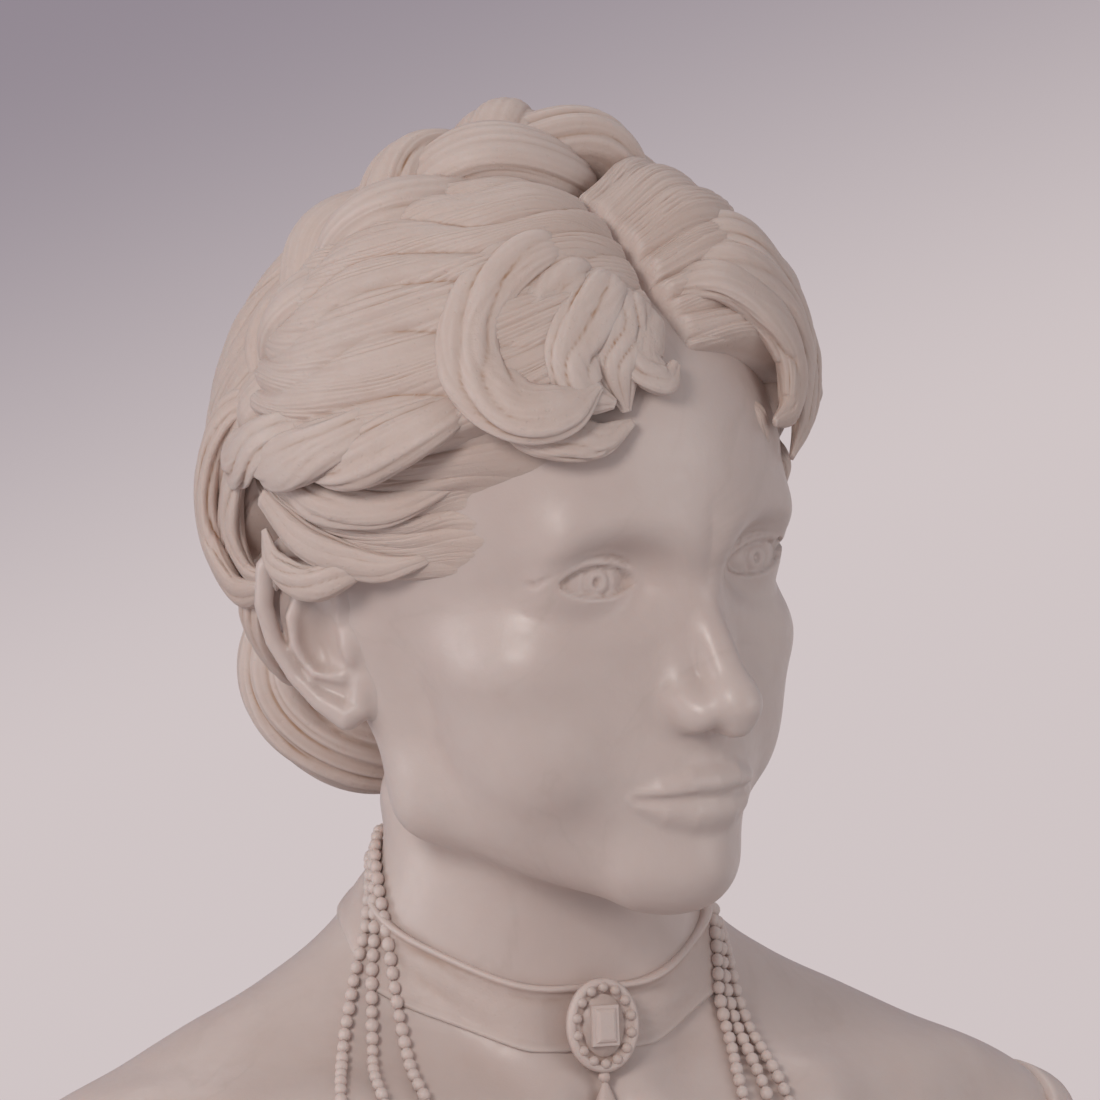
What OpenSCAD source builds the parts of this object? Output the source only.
// A life-size marble portrait bust, carved from one block, on a turned marble socle.
// The bust stands on a brass washer and turns on an iron dowel, which a nut holds under the plinth.
// +X is the sitter's left, -Y is the front and +Z is up. The origin is at the middle of the underside.

/* [Head] */
// Chin to the crown of the skull, under the hair
head_h = 222; // [200:1:250]
// Width of the skull, under the hair
head_w = 148; // [130:1:170]
// Forehead to the back of the skull, under the hair
head_d = 186; // [165:1:210]
// How far the head is turned to its own left, in degrees
head_turn = 18; // [-30:1:30]
// How far the head leans to its own right, in degrees
head_lean = 2; // [-5:0.5:5]
// Head's centre line behind the dowel's axis
head_back = 4; // [-15:1:15]
// Chin's middle to the right-hand side of the dowel's axis
head_aside = 7; // [-15:1:15]

/* [Hair] */
// How far the side hair stands off the skull
hair_side = 10; // [4:1:18]
// How far the back hair stands off the skull
hair_back = 14; // [6:1:22]
// How far the plait across the crown stands above the skull
plait_rise = 36; // [20:1:44]
// Width of the plait from front to back
plait_w = 54; // [36:1:70]
// Width of the chignon
chignon_w = 80; // [56:1:100]
// Height of the chignon
chignon_h = 84; // [60:1:100]

/* [Neck and choker] */
// Width of the neck
neck_w = 106; // [90:1:120]
// Height of the ribbon round the neck
choker_h = 18; // [10:1:24]
// How far the ribbon stands off the neck
choker_t = 1.8; // [1:0.1:4]
// Width of the round brooch on the ribbon
brooch_w = 26; // [18:1:34]

/* [Body] */
// Width across the shoulders
shoulder_w = 388; // [340:1:430]
// Depth of the chest
chest_d = 200; // [170:1:230]
// Chin above the underside of the foot
chin_h = 336; // [310:1:370]

/* [Foot] */
// Width of the turned foot under the chest
foot_w = 124; // [110:1:140]
// Height of the foot
foot_h = 28; // [20:1:40]

/* [Socle] */
// Height of the turned socle
socle_h = 100; // [80:1:130]
// Width of the socle's top
socle_top_w = 148; // [130:1:160]
// Width of the socle's waist
socle_waist_w = 108; // [90:1:124]
// Width of the socle's base
socle_base_w = 184; // [160:1:196]

/* [Plinth] */
// Width of the square plinth
plinth_w = 204; // [196:1:240]
// Height of the plinth
plinth_h = 28; // [24:1:45]
// Chamfer round the plinth's top and corners
plinth_chamfer = 3; // [1:0.5:6]
// Thickness of the baize glued under the plinth
baize_t = 2; // [1:0.5:4]
// How far the baize stays back from the plinth's edge
baize_inset = 3; // [1:0.5:8]

/* [Dowel] */
// Diameter of the iron dowel
dowel_d = 16; // [12:1:20]
// How far the dowel reaches into the bust
dowel_up = 72; // [50:1:90]
// Radial clearance in which the bush turns on the dowel
dowel_running = 0.05; // [0.02:0.01:0.1]
// Wall of the brass bush cemented in the bust
bush_wall = 4; // [3:0.5:6]
// Radial gap for the cement round the bush, and for the dowel in the socle and plinth
loose = 0.2; // [0.1:0.05:0.5]
// Free height over the dowel's end, inside the bust
dowel_headroom = 4; // [2:1:8]
// Width of the brass washer that the bust stands on
bearing_w = 96; // [70:1:110]
// Thickness of that washer
bearing_t = 2; // [1:0.5:4]
// Width across the flats of the nut
nut_af = 24; // [20:1:30]
// Height of the nut
nut_h = 11; // [8:1:13]
// Outside width of the plate washer over the nut
plate_w = 42; // [34:1:50]
// Thickness of that washer
plate_t = 3; // [2:0.5:4]

/* [Hidden] */
$fn = 96;

marble = [0.87, 0.83, 0.79];
brass = [0.75, 0.6, 0.32];
iron = [0.32, 0.31, 0.3];

plinth_z = baize_t;
socle_z = plinth_z + plinth_h;
bearing_z = socle_z + socle_h;
foot_z = bearing_z + bearing_t;
body_z = foot_z + foot_h;
chin_z = foot_z + chin_h;
crown_z = chin_z + head_h + plait_rise;

// The recess under the plinth, with room for a spanner round the nut and under the dowel's end.
recess_room = 4;
recess_h = plate_t + nut_h + recess_room;
recess_r = plate_w / 2 + 3;
bush_r = dowel_d / 2 + dowel_running + bush_wall;
bush_h = dowel_up - bearing_t - 4;
socket_h = dowel_up - bearing_t + dowel_headroom;
dowel_bottom = plinth_z + recess_room - 1;
dowel_top = bearing_z + dowel_up;

// A mass of the block: centre, half sizes, and the turn about the vertical.
function mass(at, half, turn = 0) = [at, half, turn];
// A mass of the head, placed from the head's own centre line and the chin's height.
function head_mass(x, y, up, half) =
    mass([head_x(up) + x * cos(head_turn) - y * sin(head_turn),
          head_back + x * sin(head_turn) + y * cos(head_turn), chin_z + up], half, head_turn);
function head_x(up) = -head_aside - up * sin(head_lean);

face_y = -head_d / 2;
skull_half = 92;
skull_up = head_h - skull_half;
plait_y = 26;
HEAD = [
    head_mass(0, 0, skull_up, [head_w / 2, head_d / 2, skull_half]),
    head_mass(0, -42, 64, [54, head_d / 2 - 48, 70]),
    head_mass(0, face_y + 24, 20, [25, 20, 20]),
    head_mass(0, face_y + 14, 44, [25, 18, 17]),
    head_mass(0, -28, 56, [58, 52, 46]),
    head_mass(0, face_y + 3, 70, [14, 19, 16]),
    head_mass(0, face_y + 7, 90, [10, 15, 34]),
    head_mass(0, face_y + 22, 122, [50, 24, 22]),
    head_mass(0, 22, skull_up + 8, [head_w / 2 + hair_side, head_d / 2 - 15 + hair_back, 90]),
    head_mass(0, -34, skull_up + 34, [70, 63, 44]),
    for (side = [-1, 1]) head_mass(side * 46, -6, skull_up + 26, [30 + hair_side, 66, 50]),
    head_mass(0, plait_y, skull_up + 22, [head_w / 2 + hair_side + 6, plait_w / 2, 70 + plait_rise]),
    head_mass(0, head_d / 2 - 3, 66, [chignon_w / 2, 35, chignon_h / 2]),
];
BODY = [
    mass([-2, 4, chin_z], [neck_w / 2, neck_w / 2 + 3, 110]),
    mass([0, 16, chin_z - 60], [neck_w / 2 + 1, neck_w / 2 + 3, 110]),
    for (side = [-1, 1]) mass([side * 54, -58, chin_z - 192], [58, 50, 54]),
];
MASSES = concat(HEAD, BODY);

// The block's radius where it stands on the turned foot.
foot_top = foot_w / 2 - 12;

// The trunk: share of the height from the foot to the chin, half width as a share of the shoulders',
// front and back as shares of the chest's depth, and how square the slice is.
TRUNK = [
    [0.00, foot_top * 2 / shoulder_w, foot_top / chest_d, foot_top / chest_d, 2.0],
    [0.05, 0.37, 0.29, 0.29, 2.0],
    [0.12, 0.52, 0.36, 0.34, 2.0],
    [0.20, 0.70, 0.44, 0.39, 2.0],
    [0.29, 0.87, 0.51, 0.44, 2.1],
    [0.39, 0.97, 0.54, 0.47, 2.2],
    [0.48, 1.00, 0.52, 0.49, 2.2],
    [0.57, 0.998, 0.47, 0.49, 2.2],
    [0.65, 0.975, 0.39, 0.485, 2.1],
    [0.70, 0.93, 0.33, 0.47, 2.0],
    [0.75, 0.87, 0.25, 0.45, 1.8],
    [0.78, 0.82, 0.21, 0.43, 1.65],
    [0.81, 0.76, 0.20, 0.41, 1.5],
    [0.85, 0.67, 0.20, 0.38, 1.4],
    [0.89, 0.56, 0.20, 0.35, 1.35],
    [0.93, 0.43, 0.20, 0.32, 1.5],
    [0.97, 0.31, 0.20, 0.30, 1.8],
    [1.00, 0.24, 0.20, 0.28, 2.0],
];
trunk_h = chin_z - body_z;
function trunk_at(z, column) =
    lookup((z - body_z) / trunk_h, [for (row = TRUNK) [row[0], row[column]]]);
function trunk(axis, d, z) =
    z > chin_z ? 0 :
    let (wide = trunk_at(z, 1) * shoulder_w / 2,
         deep = trunk_at(z, d.y < 0 ? 2 : 3) * chest_d + (d.y < 0 ? axis.y : -axis.y),
         square = trunk_at(z, 4))
    pow(pow(abs(d.x) / wide, square) + pow(abs(d.y) / deep, square), -1 / square);

// How far a mass reaches from the axis point at height z in direction d, or 0 where it is missed.
function turned(v, a) = [v.x * cos(a) + v.y * sin(a), v.y * cos(a) - v.x * sin(a)];
function reach(m, axis, d, z) =
    let (slice = 1 - pow((z - m[0].z) / m[1].z, 2))
    slice <= 0 ? 0 :
    let (o = turned([axis.x - m[0].x, axis.y - m[0].y], m[2]),
         e = turned(d, m[2]),
         a = pow(e.x / m[1].x, 2) + pow(e.y / m[1].y, 2),
         b = o.x * e.x / pow(m[1].x, 2) + o.y * e.y / pow(m[1].y, 2),
         c = pow(o.x / m[1].x, 2) + pow(o.y / m[1].y, 2) - slice,
         root = b * b - a * c)
    root <= 0 ? 0 : max(0, (sqrt(root) - b) / a);

// The eye sockets: how far they press into the face at height z, across from the middle of the face.
socket_depth = 7;
function socket(d, z) =
    let (across = asin(turned(d, head_turn).x), facing = turned(d, head_turn).y < 0 ? 1 : 0)
    facing * socket_depth * exp(-pow((z - chin_z - head_h / 2) / 12, 2) - pow((abs(across) - 21) / 10, 2));

// The masses melt into each other: a high power mean takes the furthest and rounds the join.
melt = 20;
thinnest = 4;
function skin(axis, d, z) =
    let (powers = concat([for (m = MASSES) pow(reach(m, axis, d, z), melt)],
                         [pow(trunk(axis, d, z), melt)]))
    max(thinnest, pow(powers * [for (p = powers) 1], 1 / melt) - socket(d, z));

// The line from which every slice of the block is seen whole, up to the middle of the plait.
crown_x = head_x(head_h) - plait_y * sin(head_turn);
crown_y = head_back + plait_y * cos(head_turn);
function axis_at(z) =
    [lookup(z, [[chin_z - 60, 0], [chin_z + 40, head_x(40)], [crown_z, crown_x]]),
     lookup(z, [[body_z, 0], [chin_z - 90, 10], [chin_z - 60, 18], [chin_z, 8], [crown_z, crown_y]])];

// Directions round a slice: close together over the face and chest, wider apart behind.
front = head_turn / 2 - 90;
near_half = 54;
near_step = 4.5;
far_step = 8;
ANGLES = concat([for (a = [-near_half : near_step : near_half]) front + a],
                [for (a = [near_half + far_step : far_step : 360 - near_half - far_step / 2]) front + a]);
ring_sides = len(ANGLES);
ring_gap = 7.5;
fine_gap = 5;
shoulder_low = chin_z - 100;
fine_top = chin_z + 100;
last_ring = crown_z - 1;
HEIGHTS = [
    for (z = [body_z : ring_gap : shoulder_low - ring_gap / 2]) z,
    for (z = [shoulder_low : fine_gap : fine_top]) z,
    for (z = [fine_top + ring_gap : ring_gap : last_ring - ring_gap / 2]) z,
    last_ring
];

module carved_block() {
    n = ring_sides;
    points = [
        for (z = HEIGHTS, i = [0 : n - 1])
            let (d = [cos(ANGLES[i]), sin(ANGLES[i])], axis = axis_at(z), r = skin(axis, d, z))
            [axis.x + r * d.x, axis.y + r * d.y, z]
    ];
    rings = len(HEIGHTS);
    sides = [
        for (k = [0 : rings - 2], i = [0 : n - 1])
            let (j = (i + 1) % n)
            [k * n + i, (k + 1) * n + i, (k + 1) * n + j, k * n + j]
    ];
    bottom = [for (i = [0 : n - 1]) i];
    top = [for (i = [n - 1 : -1 : 0]) (rings - 1) * n + i];
    polyhedron(points, concat([bottom], sides, [top]));
}

// A turned outline: heights from the bottom and the radius at each, with a hollow along the axis.
module turned_piece(outline) {
    top = outline[len(outline) - 1].y;
    rotate_extrude() polygon(concat([[0, 0]], outline, [[0, top]]));
}

// Points of a quarter or half round between two angles, for the mouldings of a turned outline.
function round_edge(centre, r, from, to, steps = 8) =
    [for (k = [0 : steps]) let (a = from + (to - from) * k / steps) centre + r * [cos(a), sin(a)]];

module turned_foot() {
    bead = 6;
    turned_piece(concat(
        round_edge([foot_w / 2 - bead, bead], bead, -90, 90),
        [[foot_w / 2 - 9, 2 * bead + 3]],
        round_edge([foot_w / 2 - 3, foot_h - 7], 7, 205, 155, 5),
        [[foot_w / 2 - 4, foot_h - 3], [foot_w / 2 - 4, foot_h]]
    ));
}

// The ribbon lies lower in front than at the nape, and the brooch hangs on its front.
choker_tilt = 28;
choker_y = 8;
choker_z = chin_z - 14;
choker_r = neck_w / 2 + 5;
module on_choker() {
    translate([0, choker_y, choker_z]) rotate([choker_tilt, 0, 0]) children();
}

module choker() {
    on_choker() cylinder(r = choker_r + choker_t, h = choker_h, center = true);
}

module brooch() {
    drop_r = 5.5;
    drop_z = brooch_w / 2 + 8;
    on_choker() translate([0, -choker_r - choker_t, 0]) {
        rotate([90, 0, 0]) cylinder(d = brooch_w, h = 14, center = true);
        translate([0, -2, -drop_z]) sphere(r = drop_r);
        translate([0, -2, -drop_z]) cylinder(d = 5, h = drop_z);
    }
}

module bust() {
    color(marble) difference() {
        union() {
            carved_block();
            translate([0, 0, foot_z]) turned_foot();
            choker();
            brooch();
        }
        translate([0, 0, foot_z - 1]) cylinder(r = bush_r + loose, h = socket_h + 1);
    }
}

module dowel_bush() {
    color(brass) translate([0, 0, foot_z]) difference() {
        cylinder(r = bush_r, h = bush_h);
        translate([0, 0, -1]) cylinder(r = dowel_d / 2 + dowel_running, h = bush_h + 2);
    }
}

module bearing_washer() {
    color(brass) translate([0, 0, bearing_z]) difference() {
        cylinder(d = bearing_w, h = bearing_t);
        translate([0, 0, -1]) cylinder(r = dowel_d / 2 + loose, h = bearing_t + 2);
    }
}

module dowel() {
    tip = 2;
    color(iron) translate([0, 0, dowel_bottom]) {
        cylinder(d = dowel_d, h = dowel_top - dowel_bottom - tip);
        translate([0, 0, dowel_top - dowel_bottom - tip])
            cylinder(d1 = dowel_d, d2 = dowel_d - 2 * tip, h = tip);
    }
}

module dowel_nut() {
    color(iron) translate([0, 0, plinth_z + recess_h - plate_t - nut_h]) difference() {
        cylinder(d = nut_af / cos(30), h = nut_h, $fn = 6);
        translate([0, 0, -1]) cylinder(d = dowel_d, h = nut_h + 2);
    }
}

module plate_washer() {
    color(iron) translate([0, 0, plinth_z + recess_h - plate_t]) difference() {
        cylinder(d = plate_w, h = plate_t);
        translate([0, 0, -1]) cylinder(r = dowel_d / 2 + loose, h = plate_t + 2);
    }
}

module socle() {
    ring = 9;
    top_lip = 10;
    hollow_low = 2 * ring + 6;
    hollow_high = socle_h - top_lip - 8;
    waist = socle_waist_w / 2;
    low_r = socle_base_w / 2 - 12;
    high_r = socle_top_w / 2 - 7;
    color(marble) translate([0, 0, socle_z]) difference() {
        turned_piece(concat(
            round_edge([socle_base_w / 2 - ring, ring], ring, -90, 90, 12),
            [[low_r, 2 * ring], [low_r, hollow_low]],
            [for (k = [1 : 15])
                let (t = k / 16, lean = cos(180 * t), edge = t < 0.4 ? low_r : high_r,
                     near = t < 0.4 ? t / 0.4 : (1 - t) / 0.6)
                [edge + (waist - edge) * sin(90 * near), hollow_low + (hollow_high - hollow_low) * t]],
            [[high_r, hollow_high], [high_r, hollow_high + 3], [high_r + 3, hollow_high + 3]],
            round_edge([high_r + 3, socle_h - top_lip], 4, -90, 90, 8),
            [[socle_top_w / 2, socle_h - 6], [socle_top_w / 2, socle_h - 1.5],
             [socle_top_w / 2 - 1.5, socle_h]]
        ));
        translate([0, 0, -1]) cylinder(r = dowel_d / 2 + loose, h = socle_h + 2);
    }
}

module plinth() {
    c = plinth_chamfer;
    half = plinth_w / 2;
    outline = [[half - c, -half], [half, -half + c], [half, half - c], [half - c, half],
               [-half + c, half], [-half, half - c], [-half, -half + c], [-half + c, -half]];
    slope = [for (p = outline) [p.x * (half - c) / half, p.y * (half - c) / half]];
    n = len(outline);
    sides = [for (k = [0, 1], i = [0 : n - 1])
        let (j = (i + 1) % n) [k * n + i, (k + 1) * n + i, (k + 1) * n + j, k * n + j]];
    color(marble) translate([0, 0, plinth_z]) difference() {
        polyhedron(
            concat([for (p = outline) [p.x, p.y, 0]], [for (p = outline) [p.x, p.y, plinth_h - c]],
                   [for (p = slope) [p.x, p.y, plinth_h]]),
            concat([[for (i = [0 : n - 1]) i]], sides, [[for (i = [n - 1 : -1 : 0]) 2 * n + i]]));
        translate([0, 0, -1]) cylinder(r = recess_r, h = recess_h + 1);
        translate([0, 0, -1]) cylinder(r = dowel_d / 2 + loose, h = plinth_h + 2);
    }
}

module baize() {
    side = plinth_w - 2 * baize_inset;
    color([0.13, 0.3, 0.2]) translate([-side / 2, -side / 2, 0]) cube([side, side, baize_t]);
}

bust();
dowel_bush();
bearing_washer();
dowel();
dowel_nut();
plate_washer();
socle();
plinth();
baize();
